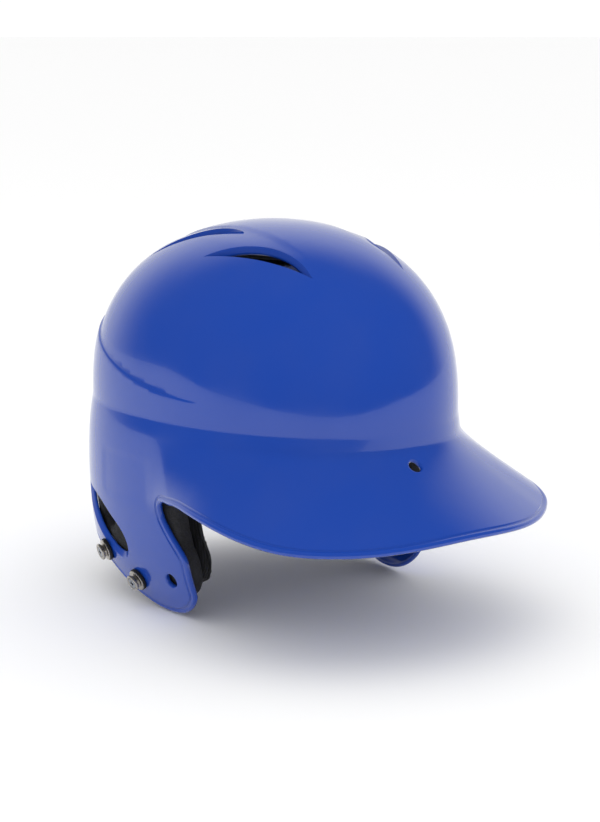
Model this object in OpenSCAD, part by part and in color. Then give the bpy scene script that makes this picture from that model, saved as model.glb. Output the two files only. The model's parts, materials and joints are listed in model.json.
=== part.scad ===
// Double-flap batting helmet: a moulded shell with a brim and two ear flaps,
// two-layer foam pads, and chin-strap snap studs bolted through the flaps.
// Worn position: +X forward, +Y to the wearer's left, +Z up.
// The origin is under the middle of the dome, at the height of the flaps' lowest point.

/* [Shell] */
// Half of the dome's length, front to rear
half_length = 117.5; // [110:0.5:125]
// Half of the dome's width at its widest ring
half_width = 91.5; // [85:0.5:98]
// Height of the dome's widest ring above the flap tips
ring_z = 114; // [110:1:118]
// Height of the crown above that ring
dome_height = 102.8; // [95:0.1:110]
// Wall of the moulded shell
wall = 3.2; // [2.4:0.1:4]
// How much narrower the forehead is than the rear, as a share
taper = 0.12; // [0:0.01:0.15]

/* [Brim] */
// How far the brim reaches in front of the dome
brim_reach = 51.5; // [40:0.5:58]
// Height of the brim's edge at its middle
brim_front_z = 68; // [64:0.5:74]
// Height of the brim's edge at its two lowest corners
brim_corner_z = 64.5; // [60:0.5:70]
// Height of the edge above the temples
temple_z = 73; // [70:0.5:78]
// Depth below the widest ring at which the brim starts to turn out
brim_start = 9; // [5:1:14]

/* [Guard holes] */
// Diameter of the hole in the brim for a face guard screw
brim_hole_d = 7; // [5:0.5:9]
// Depth of that hole below the widest ring
brim_hole_depth = 17; // [15:1:30]
// Diameter of the hole in each flap for a face guard screw
flap_hole_d = 8; // [6:0.5:9]

/* [Snap studs] */
// Diameter of the stud's flange
stud_flange_d = 12.4; // [11:0.1:13]
// Diameter of the stud's head, which a strap's snap cap grips
stud_head_d = 9.8; // [9:0.1:10]
// Thickness of the rubber washer under the flange
washer_t = 1.6; // [1:0.1:2]

/* [Pads] */
// Gap between the shell and the pads, and between a pad's two layers
pad_gap = 0.4; // [0.3:0.1:0.6]
// Thickness of the firm foam layer
core_t = 11; // [8:0.5:12]
// Thickness of the soft covered layer
liner_t = 7; // [5:0.5:8]
// Thickness of the soft covered layer at the temples, where the head is closest
side_liner_t = 3.8; // [3:0.2:7]
// Thickness of the cushion on the ear pad
ear_cushion_t = 12; // [8:0.5:13]

/* [Hidden] */
SIDES = [["right", -1], ["left", 1]];

// Shape of the dome
plan_power = 2.25;    // squareness of the widest ring in plan
crown_power = 2.09;   // fullness of the dome's width as it rises
rise_power = 2.6;     // flatness of the crown
// Shape of the skirt under the ring
bulge = 0.28;         // outward lean just under the ring, mm per mm
tuck = 0.14;          // how fast the skirt turns in below tuck_from
tuck_from = 40;
roll_in = 0.35;       // extra turn-in at the flaps' lower edge
roll_from = 70;
brow_lean = 0.05;
fillet = 0.3;         // softness of the brim's root
brim_end = 88;        // angle from the front at which the brim has run out
brim_full = 40;       // angle up to which the brim keeps its reach
notch_from = 52;      // angle from the front behind which the rim is cut to a profile

// Places, as [angle from the front, depth below the widest ring]
brim_hole_at = [0, brim_hole_depth];
flap_hole_at = [81.5, 91];
front_stud_at = [97, 97];
rear_stud_at = [112, 86];
PLACES = [["front", front_stud_at], ["rear", rear_stud_at]];

// Hardware
flange_t = 0.9;
neck_d = 7.4;
neck_t = 1.3;
head_t = 2.0;
screw_d = 3.8;
screw_head_d = 6;
screw_head_t = 1.3;
screw_reach = 8;
nut_flange_d = 14;
nut_flange_t = 1;
nut_barrel_d = 5.6;
stud_hole_d = 6.2;
seat_gap = 0.3;
lens_steps = 14;

// Ear opening and vents, as corner points
ear_centre = [-46, 47];
VENT_FRONT = [[74, 31], [6.5, 56], 10];
VENT_REAR = [[8, 30], [-55, 54], 10];
vent_inset = 0.16;

// Columns and rows of the shell's mesh; the columns close up where the brim meets the flap's profile
step_angle = 5;
dome_rows = 11;
edge_row = 12;
foot_row = 18;
split = notch_from + 2;
crowd = 1.2;          // depth over which the last rows close up at the brim's edge
trim = 1.4;           // how far the row at the rim lies below it, so that the profile cuts cleanly

function smooth(a, b, x) = let (t = min(max((x - a) / (b - a), 0), 1)) t * t * (3 - 2 * t);
function wrap(a) = a > 180 ? a - 360 : a;
function power_dir(a, n) =
    let (c = cos(a), s = sin(a), r = pow(pow(abs(c), n) + pow(abs(s), n), -1 / n)) [c * r, s * r];
function edge_z(a) =
    brim_front_z + (brim_corner_z - brim_front_z) * smooth(0, 30, abs(a))
    + (temple_z - brim_corner_z) * smooth(34, 66, abs(a));
function reach(a) =
    brim_reach * (1 - 0.1 * sin(a) * sin(a)) * (1 - smooth(brim_full, brim_end, abs(a)));
function root_curve(u) = (sqrt(u * u + fillet * fillet) - fillet) / (sqrt(1 + fillet * fillet) - fillet);

// A point of the dome: angle from the front, share of the way from the crown (0) to the ring (1)
function dome_point(a, t) =
    let (rise = (1 - t) * 90, s = pow(cos(rise), 2 / crown_power), g = pow(sin(rise), 2 / rise_power),
         d = power_dir(a, 2 + (plan_power - 2) * s))
    [half_length * s * d[0], half_width * s * d[1] * (1 - taper * s * d[0]), ring_z + dome_height * g];

// How far the brim turns out at an angle and a depth under the ring
function brim_out(a, w) =
    let (edge = ring_z - edge_z(a), u = max(0, (w - brim_start) / (edge - brim_start)))
    reach(a) * (w <= edge ? root_curve(u) : 1 - smooth(2, 14, w - edge));

// A point of the skirt, turned out by a distance: angle from the front, depth under the ring
function skirt_point(a, w, out) =
    let (d = power_dir(a, plan_power),
         side = bulge * w * exp(-w / 40) - tuck * pow(max(w - tuck_from, 0), 2) / 100
             - roll_in * pow(max(w - roll_from, 0), 2) / 100,
         lean = brow_lean * min(w, 40) * smooth(-0.2, 0.9, cos(a)))
    [(half_length + lean) * d[0] + out * cos(a),
     (half_width + side) * d[1] * (1 - taper * d[0]) + out * sin(a),
     ring_z - w];

// q is the share of the dome up to 1, and then 1 plus the depth in hundredths of a millimetre
// brim is 1 on the shell, and 0 on the plain head form that the pads follow
function skin(a, q, brim = 1) =
    q <= 1 ? dome_point(a, q)
           : let (w = (q - 1) * 100) skirt_point(a, w, brim == 0 ? 0 : brim_out(wrap(a), w));
function unit3(v) = v / norm(v);
function normal(a, q, brim = 1) =
    let (p = max(q, 0.03), e = 0.006, u = skin(a + 0.6, p, brim) - skin(a - 0.6, p, brim),
         v = skin(a, p + e, brim) - skin(a, p - e, brim))
    unit3(cross(v, u));
function offset_skin(a, q, d, brim = 1) =
    q == 0 ? [0, 0, ring_z + dome_height + d] : skin(a, q, brim) + d * normal(a, q, brim);
function row_of(depth) = 1 + depth / 100;

function sorted(v) =
    len(v) <= 1 ? v
    : let (m = v[floor(len(v) / 2)])
      concat(sorted([for (x = v) if (x < m) x]), [m], sorted([for (x = v) if (x > m) x]));

// Closed wall between two offsets of the skin, all the way round from the crown down
module round_wall(rows, d_out, d_in, angles) {
    n = len(angles);
    m = len(rows);
    ring = function (k, d) [for (i = [0:n - 1]) offset_skin(angles[i], rows[k][i], d)];
    pts = concat([offset_skin(0, 0, d_out)], [for (k = [0:m - 1]) each ring(k, d_out)],
                 [offset_skin(0, 0, d_in)], [for (k = [0:m - 1]) each ring(k, d_in)]);
    b = 1 + n * m;
    o = function (k, i) 1 + k * n + (i % n);
    j = function (k, i) b + 1 + k * n + (i % n);
    faces = concat(
        [for (i = [0:n - 1]) [0, o(0, i + 1), o(0, i)]],
        [for (k = [0:m - 2], i = [0:n - 1], f = [0, 1])
            f == 0 ? [o(k, i), o(k, i + 1), o(k + 1, i + 1)] : [o(k, i), o(k + 1, i + 1), o(k + 1, i)]],
        [for (i = [0:n - 1]) [b, j(0, i), j(0, i + 1)]],
        [for (k = [0:m - 2], i = [0:n - 1], f = [0, 1])
            f == 0 ? [j(k, i), j(k + 1, i + 1), j(k, i + 1)] : [j(k, i), j(k + 1, i), j(k + 1, i + 1)]],
        [for (i = [0:n - 1], f = [0, 1])
            f == 0 ? [o(m - 1, i), o(m - 1, i + 1), j(m - 1, i + 1)]
                   : [o(m - 1, i), j(m - 1, i + 1), j(m - 1, i)]]);
    polyhedron(pts, faces, convexity = 8);
}

// Pad with rounded corners between two offsets of the skin, centred on an angle and a row
module patch(a_mid, a_half, q_mid, q_half, d_out, d_in, nu = 12, nv = 8) {
    pull = function (t) sqrt(1 - 0.28 * t * t);
    at = function (i, k, d)
        let (u = 2 * i / nu - 1, v = 2 * k / nv - 1)
        offset_skin(a_mid + a_half * u * pull(v), q_mid + q_half * v * pull(u), d, 0);
    n = nu + 1;
    pts = concat([for (k = [0:nv], i = [0:nu]) at(i, k, d_out)], [for (k = [0:nv], i = [0:nu]) at(i, k, d_in)]);
    o = function (i, k) k * n + i;
    b = n * (nv + 1);
    edge = concat([for (i = [0:nu - 1]) o(i, 0)], [for (k = [0:nv - 1]) o(nu, k)],
                  [for (i = [nu:-1:1]) o(i, nv)], [for (k = [nv:-1:1]) o(0, k)]);
    faces = concat(
        [for (i = [0:nu - 1], k = [0:nv - 1], f = [0, 1])
            f == 0 ? [o(i, k), o(i + 1, k), o(i + 1, k + 1)] : [o(i, k), o(i + 1, k + 1), o(i, k + 1)]],
        [for (i = [0:nu - 1], k = [0:nv - 1], f = [0, 1])
            f == 0 ? [b + o(i, k), b + o(i + 1, k + 1), b + o(i + 1, k)]
                   : [b + o(i, k), b + o(i, k + 1), b + o(i + 1, k + 1)]],
        [for (i = [0:len(edge) - 1], f = [0, 1])
            let (p = edge[i], q = edge[(i + 1) % len(edge)])
            f == 0 ? [p, b + q, q] : [p, b + p, b + q]]);
    polyhedron(pts, faces, convexity = 6);
}

// Puts children on the skin, their +Z along its outward normal
module on_skin(at, side) {
    p = skin(side * at[0], row_of(at[1]));
    n = normal(side * at[0], row_of(at[1]));
    translate(p) rotate([0, acos(n[2]), atan2(n[1], n[0])]) children();
}

// Smooth curve through points
function blend(p, i, t) =
    let (a = p[i - 1], b = p[i], c = p[i + 1], d = p[i + 2])
    0.5 * (2 * b + (c - a) * t + (2 * a - 5 * b + 4 * c - d) * t * t + (3 * b - a - 3 * c + d) * t * t * t);
function curve(p, n) = [for (i = [1:len(p) - 3], k = [0:n - 1]) blend(p, i, k / n)];

// Side view of the rim from the nape, round the flap and up into the notch, as [x, z]
FLAP_RIM = [[-150, 46], [-128, 45], [-104, 41], [-84, 35], [-64, 27], [-44, 16.5], [-26, 7], [-9, 1.2], [6, 0],
            [20, 3], [31, 11.5], [36, 25], [32.5, 39], [23.5, 52], [18, 61], [18.5, 67], [23.5, 70.5],
            [34, 71.5], [45, 72]];
function rim_xz(a) = [skin(a, row_of(ring_z - edge_z(a)))[0], edge_z(a)];

module side_profile() {
    temple = [for (a = [68:-4:notch_from]) rim_xz(a)];
    last = temple[len(temple) - 1];
    polygon(concat(curve(FLAP_RIM, 5), temple,
                   [[last[0] + 2, last[1] - 8], [last[0] + 2, -30], [-160, -30], [-160, 46]]));
}

module across(length = 300) {
    rotate([90, 0, 0]) linear_extrude(length, center = true) children();
}

// Ear opening: a rounded wedge that narrows to the rear and up
EAR_POINTS = [[-75, 60], [-60, 58.5], [-47, 55.5], [-35, 49.5], [-25, 43.5], [-20.5, 37.5], [-22, 31.5],
              [-28, 30.2], [-38, 33], [-52, 40.5], [-64, 48.5], [-74, 57]];
module ear_shape() {
    n = len(EAR_POINTS);
    closed = [for (i = [-1:n + 1]) EAR_POINTS[(i + n) % n]];
    polygon(curve(closed, 3));
}

// Lens between two tips in plan, bowed towards the middle of the helmet
module lens(vent, side, inset) {
    p = vent[0];
    q = vent[1];
    across_dir = unit3([q[1] - p[1], p[0] - q[0], 0]);
    inward = [-abs(across_dir[0]) * 0.35, -abs(across_dir[1])];
    start = inset;
    pt = function (t, h) [p[0] + (q[0] - p[0]) * t + inward[0] * h, p[1] + (q[1] - p[1]) * t + inward[1] * h];
    span = 1 - 2 * start;
    upper = [for (i = [0:lens_steps]) let (t = i / lens_steps) pt(start + span * t, 1 + 4 * (vent[2] - 2.5) * t * (1 - t))];
    lower = [for (i = [lens_steps:-1:0]) let (t = i / lens_steps) pt(start + span * t, 1 - 4 * 0.6 * t * (1 - t))];
    mirror([0, side < 0 ? 1 : 0, 0]) polygon(concat(upper, lower));
}

module shell() {
    near_split = [-split - 1, -split + 1, split - 1, split + 1];
    even = [for (a = [-180:step_angle:180 - step_angle]) if (abs(abs(a) - split) > 2.5) a];
    angles = sorted(concat(even, near_split));
    // In front all rows end at the brim's edge; behind the split they go on past the flaps' tips
    depth = function (a, k)
        let (edge = ring_z - edge_z(a), top = edge + (abs(a) < split ? -crowd : trim),
             foot = abs(a) < split ? edge : ring_z + 6)
        k <= edge_row ? top * k / edge_row : top + (foot - top) * (k - edge_row) / (foot_row - edge_row);
    rows = concat([for (k = [1:dome_rows]) [for (a = angles) k / dome_rows]],
                  [for (k = [1:foot_row]) [for (a = angles) row_of(depth(a, k))]]);
    color("#1c46a4") difference() {
        resize([0, 0, 0]) difference() {
            round_wall(rows, 0, -wall, angles);
            across() side_profile();
            across() ear_shape();
            for (s = SIDES, v = [VENT_FRONT, VENT_REAR])
                translate([0, 0, 150]) linear_extrude(90) lens(v, s[1], vent_inset);
        }
        on_skin(brim_hole_at, 1) cylinder(d = brim_hole_d, h = 20, center = true, $fn = 48);
        for (s = SIDES) {
            on_skin(flap_hole_at, s[1]) cylinder(d = flap_hole_d, h = 20, center = true, $fn = 48);
            for (p = PLACES)
                on_skin(p[1], s[1]) cylinder(d = stud_hole_d, h = 20, center = true, $fn = 48);
        }
    }
}

// Offsets of the pads' faces from the outside of the shell
core_out = -(wall + pad_gap);
core_in = core_out - core_t;
liner_out = core_in - pad_gap;
liner_in = liner_out - liner_t;
cushion_in = liner_out - ear_cushion_t;

CROWN_EDGE = 0.26;
module crown_pad(d_out, d_in, share) {
    angles = [for (a = [0:12:348]) a];
    round_wall([for (t = [0.25, 0.5, 0.75, 1]) [for (a = angles) share * t]], d_out, d_in, angles);
}

// Middle angle, half angle, middle row and half height of each pad
FRONT = [0, 45, 0.84, 0.3];
REAR = [180, 40, 0.98, 0.44];
SIDE = [73, 24, 0.74, 0.24];
module pad(place, side, d_out, d_in, inset) {
    patch(side * place[0], place[1] - 60 * inset, place[2], place[3] - inset, d_out, d_in);
}

// Relief around the nuts and the guard hole, so that hardware goes in from inside
module hardware_relief(side) {
    for (p = PLACES)
        on_skin(p[1], side) translate([0, 0, -screw_reach - 1.5]) cylinder(d = nut_flange_d + 3, h = screw_reach + 1.5, $fn = 32);
    on_skin(flap_hole_at, side) translate([0, 0, core_in - 1]) cylinder(d = flap_hole_d + 4, h = -core_in + 1, $fn = 32);
}

// Side view of the ear pads' edge: the flap's rim, but without its notch, which the pad fills behind
PAD_RIM = [[-150, 46], [-128, 45], [-104, 41], [-84, 35], [-64, 27], [-44, 16.5], [-26, 7], [-9, 1.2], [6, 0],
           [20, 3], [31, 11.5], [36, 25], [34.5, 39], [32, 52], [31, 62], [32.5, 71], [38, 77], [48, 79], [60, 80]];
module pad_profile() {
    polygon(concat(curve(PAD_RIM, 5), [[90, 80], [90, -30], [-160, -30], [-160, 46]]));
}

// Ear pad layer: follows the flap a few millimetres inside its rim, open round the ear
module ear_layer(side, d_out, d_in, margin, hole) {
    difference() {
        patch(side * 99, 35, 1.6, 0.58, d_out, d_in, 16, 14);
        across() offset(delta = margin) pad_profile();
        across() translate(ear_centre) scale([1.25, 1]) circle(hole, $fn = 36);
    }
}

module ear_core(side) {
    resize([0, 0, 0]) difference() {
        ear_layer(side, core_out, core_in, 4, 17);
        hardware_relief(side);
    }
}

module ear_cushion(side) {
    resize([0, 0, 0]) ear_layer(side, liner_out, cushion_in, 5.5, 19);
}

// Snap hardware, drawn along +Z from the outside of the shell at z = 0
flange_z = seat_gap + washer_t;
neck_z = flange_z + flange_t;
head_z = neck_z + neck_t;
module washer_shape() {
    translate([0, 0, seat_gap]) difference() {
        cylinder(d = stud_flange_d + 0.8, h = washer_t, $fn = 48);
        translate([0, 0, -1]) cylinder(d = screw_d + 0.6, h = washer_t + 2, $fn = 32);
    }
}

module stud_shape() {
    difference() {
        union() {
            translate([0, 0, flange_z]) cylinder(d = stud_flange_d, h = flange_t, $fn = 48);
            translate([0, 0, neck_z]) cylinder(d = neck_d, h = neck_t, $fn = 48);
            translate([0, 0, head_z]) cylinder(d = stud_head_d, h = head_t, $fn = 48);
        }
        translate([0, 0, head_z + head_t - screw_head_t - 0.4]) cylinder(d = screw_head_d + 0.4, h = 5, $fn = 48);
        translate([0, 0, flange_z - 1]) cylinder(d = screw_d + 0.4, h = 10, $fn = 32);
    }
}

module screw_shape() {
    top = head_z + head_t - 0.4;
    difference() {
        union() {
            translate([0, 0, -screw_reach]) cylinder(d = screw_d, h = screw_reach + top - screw_head_t, $fn = 32);
            translate([0, 0, top - screw_head_t]) cylinder(d = screw_head_d, h = screw_head_t, $fn = 48);
        }
        for (a = [0, 90])
            translate([0, 0, top]) rotate([0, 0, a]) cube([3.4, 0.9, 1.4], center = true);
    }
}

module nut_shape() {
    base = -wall - seat_gap - nut_flange_t;
    difference() {
        union() {
            translate([0, 0, base]) cylinder(d = nut_flange_d, h = nut_flange_t, $fn = 48);
            translate([0, 0, base]) cylinder(d = nut_barrel_d, h = nut_flange_t + wall - 0.3, $fn = 32);
        }
        translate([0, 0, base - 1]) cylinder(d = screw_d + 0.2, h = 10, $fn = 32);
    }
}

module snap(side, at, piece) {
    on_skin(at, side)
        if (piece == "washer") color("#141414") washer_shape();
        else if (piece == "stud") color("#b9bcc0") stud_shape();
        else if (piece == "screw") color("#8d9094") screw_shape();
        else color("#8d9094") nut_shape();
}

foam = "#1b1b1d";
cloth = "#121214";

shell();
color(foam) crown_pad(core_out, core_in, CROWN_EDGE);  // crown_pad_core
color(cloth) crown_pad(liner_out, liner_in, CROWN_EDGE - 0.03);  // crown_pad_liner
color(foam) pad(FRONT, 1, core_out, core_in, 0);  // front_pad_core
color(cloth) pad(FRONT, 1, liner_out, liner_in, 0.03);  // front_pad_liner
color(foam) pad(REAR, 1, core_out, core_in, 0);  // rear_pad_core
color(cloth) pad(REAR, 1, liner_out, liner_in, 0.03);  // rear_pad_liner
for (s = SIDES) {
    color(foam) pad(SIDE, s[1], core_out, core_in, 0);
    color(cloth) pad(SIDE, s[1], liner_out, liner_out - side_liner_t, 0.03);
    color(foam) ear_core(s[1]);
    color(cloth) ear_cushion(s[1]);
    for (p = PLACES) {
        snap(s[1], p[1], "stud");
        snap(s[1], p[1], "screw");
        snap(s[1], p[1], "nut");
        snap(s[1], p[1], "washer");
    }
}
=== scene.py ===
"""Double-flap batting helmet: moulded shell, sewn pads and snap studs, on a pale floor.

Lengths are in millimetres up to the point where a mesh is made, and in metres after that.
"""

import json
import logging
import math
from collections.abc import Callable
from dataclasses import dataclass, field
from enum import Enum
from typing import Any, ClassVar

import bmesh
import bpy
import numpy as np
from mathutils import Matrix, Vector
from mathutils.geometry import delaunay_2d_cdt
from mathutils.kdtree import KDTree

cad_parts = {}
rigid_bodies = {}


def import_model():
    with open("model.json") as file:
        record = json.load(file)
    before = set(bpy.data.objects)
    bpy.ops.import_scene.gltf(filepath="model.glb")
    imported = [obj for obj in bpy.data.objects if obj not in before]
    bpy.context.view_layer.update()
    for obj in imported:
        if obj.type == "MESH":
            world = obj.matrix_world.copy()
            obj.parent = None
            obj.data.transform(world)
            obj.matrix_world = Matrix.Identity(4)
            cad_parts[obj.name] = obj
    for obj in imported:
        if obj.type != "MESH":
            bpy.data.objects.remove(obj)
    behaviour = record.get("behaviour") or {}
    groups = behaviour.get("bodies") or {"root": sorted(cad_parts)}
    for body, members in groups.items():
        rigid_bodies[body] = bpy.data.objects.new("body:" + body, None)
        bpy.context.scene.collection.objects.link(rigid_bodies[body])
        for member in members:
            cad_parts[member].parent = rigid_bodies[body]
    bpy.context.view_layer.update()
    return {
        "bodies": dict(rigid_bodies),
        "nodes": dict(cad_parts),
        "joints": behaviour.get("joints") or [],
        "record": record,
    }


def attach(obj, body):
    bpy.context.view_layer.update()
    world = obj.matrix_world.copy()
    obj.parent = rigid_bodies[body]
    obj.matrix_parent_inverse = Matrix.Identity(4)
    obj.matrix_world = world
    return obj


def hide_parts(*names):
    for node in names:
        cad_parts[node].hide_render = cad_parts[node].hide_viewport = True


LOG = logging.getLogger("helmet")
MM = 0.001
TINY = 1e-12

Section = list[tuple[float, float]]
Rule = Callable[[np.ndarray], np.ndarray]


class Side(Enum):
    """A side of the helmet, as the sign of Y."""

    RIGHT = -1
    LEFT = 1

    @property
    def word(self) -> str:
        """The side's name, as the nodes carry it."""
        return self.name.lower()


# ---------------------------------------------------------------- small tools


def smooth(low: float, high: float, x: np.ndarray) -> np.ndarray:
    """Smooth rise from 0 at low to 1 at high."""
    t = np.clip((x - low) / (high - low), 0.0, 1.0)
    return t * t * (3.0 - 2.0 * t)


def unit(v: np.ndarray) -> np.ndarray:
    """Rows of v at length 1."""
    return v / np.maximum(np.linalg.norm(v, axis=-1, keepdims=True), TINY)


def spline(points: list[tuple[float, float]], steps: int, closed: bool) -> np.ndarray:
    """Catmull-Rom curve through plane points.

    Args:
        points: The control points.
        steps: Points made for each span.
        closed: Whether the curve comes back to its start. An open one leaves out its first and last span.

    Returns:
        The curve's points, one a row.
    """
    p = np.array(points, float)
    n = len(p)
    spans = range(n) if closed else range(1, n - 2)
    out = []
    for i in spans:
        a, b, c, d = p[(i - 1) % n], p[i], p[(i + 1) % n], p[(i + 2) % n]
        for k in range(steps):
            t = k / steps
            out.append(
                0.5 * (2 * b + (c - a) * t + (2 * a - 5 * b + 4 * c - d) * t**2 + (3 * b - a - 3 * c + d) * t**3)
            )
    return np.array(out)


def inside(points: np.ndarray, loop: np.ndarray) -> np.ndarray:
    """Which plane points lie in a closed loop, by the even-odd rule."""
    x, y = points[:, 0:1], points[:, 1:2]
    x0, y0 = loop[:, 0], loop[:, 1]
    x1, y1 = np.roll(x0, -1), np.roll(y0, -1)
    rise = np.where(np.abs(y1 - y0) < TINY, TINY, y1 - y0)
    hits = ((y0 > y) != (y1 > y)) & (x < (x1 - x0) * (y - y0) / rise + x0)
    return hits.sum(axis=1) % 2 == 1


def counter_clockwise(loop: np.ndarray) -> np.ndarray:
    """The loop, turned round if it runs clockwise."""
    x, y = loop[:, 0], loop[:, 1]
    area = np.sum(x * np.roll(y, -1) - np.roll(x, -1) * y)
    return loop if area > 0 else loop[::-1]


def mesh_object(
    name: str,
    points: np.ndarray,
    faces: list[tuple[int, ...]],
    normals: np.ndarray | None = None,
    outward: bool = True,
) -> bpy.types.Object:
    """Makes a smooth-shaded mesh object at the origin.

    Args:
        name: The object's name.
        points: Its vertices, in millimetres.
        faces: Vertex numbers of each face.
        normals: A shading normal for each vertex, or None for Blender's own.
        outward: Whether the faces are turned to point outwards first.

    Returns:
        The object, linked to the scene.
    """
    mesh = bpy.data.meshes.new(name)
    mesh.from_pydata((points * MM).tolist(), [], faces)
    if outward:
        work = bmesh.new()
        work.from_mesh(mesh)
        bmesh.ops.recalc_face_normals(work, faces=work.faces)
        work.to_mesh(mesh)
        work.free()
    mesh.shade_smooth()
    if normals is not None:
        mesh.normals_split_custom_set_from_vertices(normals.tolist())
    made = bpy.data.objects.new(name, mesh)
    bpy.context.scene.collection.objects.link(made)
    return made


# ---------------------------------------------------------------- the head form


@dataclass(frozen=True)
class HeadForm:
    """The skin of the helmet as a rule: a dome over a skirt, which turns out into the brim in front.

    A place on it is a point of a plane: its distance from the origin is the way down from the crown
    along the side, and its direction is the angle from the front.
    """

    half_length: float = 117.5
    half_width: float = 91.5
    ring_z: float = 114.0
    dome_height: float = 102.8
    taper: float = 0.12
    plan_power: float = 2.25
    profile_powers: tuple[float, float] = (2.09, 2.6)
    brim_reach: float = 51.5
    brim_start: float = 9.0
    fillet: float = 0.3
    brim: bool = True
    relief: bool = False

    def meridian(self) -> tuple[np.ndarray, np.ndarray]:
        """Share of the dome from the crown, and the length along the side down to it."""
        q = np.linspace(0.0, 1.0, 721)
        p = self._dome(np.full_like(q, 90.0), q)
        steps = np.linalg.norm(np.diff(p, axis=0), axis=1)
        return q, np.concatenate([[0.0], np.cumsum(steps)])

    def ring_radius(self) -> float:
        """Plane distance of the widest ring."""
        return float(self.meridian()[1][-1])

    def edge_z(self, a: np.ndarray) -> np.ndarray:
        """Height of the brim's edge at an angle from the front."""
        a = np.abs(a)
        return 68.0 - 3.5 * smooth(0, 30, a) + 8.5 * smooth(34, 66, a)

    def _direction(self, a: np.ndarray, n: np.ndarray | float) -> tuple[np.ndarray, np.ndarray]:
        """Point of a superellipse of power n, at an angle in degrees."""
        c, s = np.cos(np.radians(a)), np.sin(np.radians(a))
        r = (np.abs(c) ** n + np.abs(s) ** n) ** (-1.0 / n)
        return c * r, s * r

    def _dome(self, a: np.ndarray, t: np.ndarray) -> np.ndarray:
        """Points of the dome, at angle a and share t of the way down to the ring."""
        rise = np.radians((1.0 - np.clip(t, 0, 1)) * 90.0)
        s = np.clip(np.cos(rise), 0, 1) ** (2 / self.profile_powers[0])
        g = np.clip(np.sin(rise), 0, 1) ** (2 / self.profile_powers[1])
        d0, d1 = self._direction(a, 2.0 + (self.plan_power - 2.0) * s)
        return np.stack(
            [
                self.half_length * s * d0,
                self.half_width * s * d1 * (1 - self.taper * s * d0),
                self.ring_z + self.dome_height * g,
            ],
            axis=-1,
        )

    def _brim_out(self, a: np.ndarray, w: np.ndarray) -> np.ndarray:
        """How far the brim turns out, at angle a and depth w under the ring."""
        edge = self.ring_z - self.edge_z(a)
        u = np.maximum(0.0, (w - self.brim_start) / (edge - self.brim_start))
        root = (np.sqrt(u * u + self.fillet**2) - self.fillet) / (math.sqrt(1 + self.fillet**2) - self.fillet)
        reach = self.brim_reach * (1 - 0.1 * np.sin(np.radians(a)) ** 2) * (1 - smooth(40, 88, np.abs(a)))
        return reach * np.where(w <= edge, root, 1 - smooth(2, 14, w - edge))

    def skirt(self, a: np.ndarray, w: np.ndarray) -> np.ndarray:
        """Points of the skirt, at angle a and depth w under the ring."""
        d0, d1 = self._direction(a, self.plan_power)
        side = (
            0.28 * w * np.exp(-w / 40)
            - 0.14 * np.maximum(w - 40, 0) ** 2 / 100
            - 0.35 * np.maximum(w - 70, 0) ** 2 / 100
        )
        cosine, sine = np.cos(np.radians(a)), np.sin(np.radians(a))
        lean = 0.05 * np.minimum(w, 40) * smooth(-0.2, 0.9, cosine)
        out = self._brim_out(a, w) if self.brim else np.zeros_like(w)
        return np.stack(
            [
                (self.half_length + lean) * d0 + out * cosine,
                (self.half_width + side) * d1 * (1 - self.taper * d0) + out * sine,
                self.ring_z - w,
            ],
            axis=-1,
        )

    def polar(self, a: np.ndarray, radius: np.ndarray) -> np.ndarray:
        """Plane points from angles in degrees and distances."""
        return np.stack([radius * np.cos(np.radians(a)), radius * np.sin(np.radians(a))], axis=-1)

    def radius_of(self, q: np.ndarray) -> np.ndarray:
        """Plane distance of a row: the dome's share up to 1, then 1 plus the depth in hundredths."""
        shares, lengths = self.meridian()
        return np.where(q <= 1, np.interp(q, shares, lengths), lengths[-1] + (q - 1) * 100)

    def plain_points(self, plane: np.ndarray) -> np.ndarray:
        """Points of the skin without its relief."""
        shares, lengths = self.meridian()
        radius = np.hypot(plane[:, 0], plane[:, 1])
        a = np.degrees(np.arctan2(plane[:, 1], plane[:, 0]))
        dome = self._dome(a, np.interp(radius, lengths, shares))
        skirt = self.skirt(a, np.maximum(radius - lengths[-1], 0.0))
        return np.where((radius <= lengths[-1])[:, None], dome, skirt)

    @staticmethod
    def ledge_z(x: np.ndarray) -> np.ndarray:
        """Height of the moulded ledge along the side."""
        return 134 - 0.129 * (x + 19) + 0.001655 * (x + 19) * (x - 43)

    def _relief(self, p: np.ndarray) -> np.ndarray:
        """Depth of the moulded steps under the plain skin."""
        x, y, z = p[:, 0], np.abs(p[:, 1]), p[:, 2]
        over = z - self.ledge_z(x)
        ledge = 1.1 * smooth(0, 1.5, over) * (1 - smooth(3, 60, over))
        ledge *= (1 - smooth(8, 46, x)) * smooth(-112, -84, x)
        panel = 0.3 * smooth(-42, -35, x) * (1 - smooth(3, 11, x)) * smooth(62.5, 67, z) * (1 - smooth(88, 92.5, z))
        crown = 0.8 * smooth(25.2, 26.8, y) * (1 - smooth(28, 44, y))
        crown *= smooth(-74, -46, x) * (1 - smooth(40, 66, x)) * smooth(150, 175, z)
        return ledge + panel + crown

    def slopes(self, plane: np.ndarray, rule: Rule, step: float) -> tuple[np.ndarray, np.ndarray]:
        """Slopes of a rule of points along the plane's two directions."""
        ex, ey = np.array([step, 0.0]), np.array([0.0, step])
        return (
            (rule(plane + ex) - rule(plane - ex)) / (2 * step),
            (rule(plane + ey) - rule(plane - ey)) / (2 * step),
        )

    def plain_normals(self, plane: np.ndarray) -> np.ndarray:
        """Outward normals of the skin without its relief."""
        sx, sy = self.slopes(plane, self.plain_points, 0.5)
        return unit(np.cross(sx, sy))

    def points(self, plane: np.ndarray) -> np.ndarray:
        """Points of the skin at places of the plane."""
        p = self.plain_points(plane)
        if self.relief:
            p = p - self._relief(p)[:, None] * self.plain_normals(plane)
        return p

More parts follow.
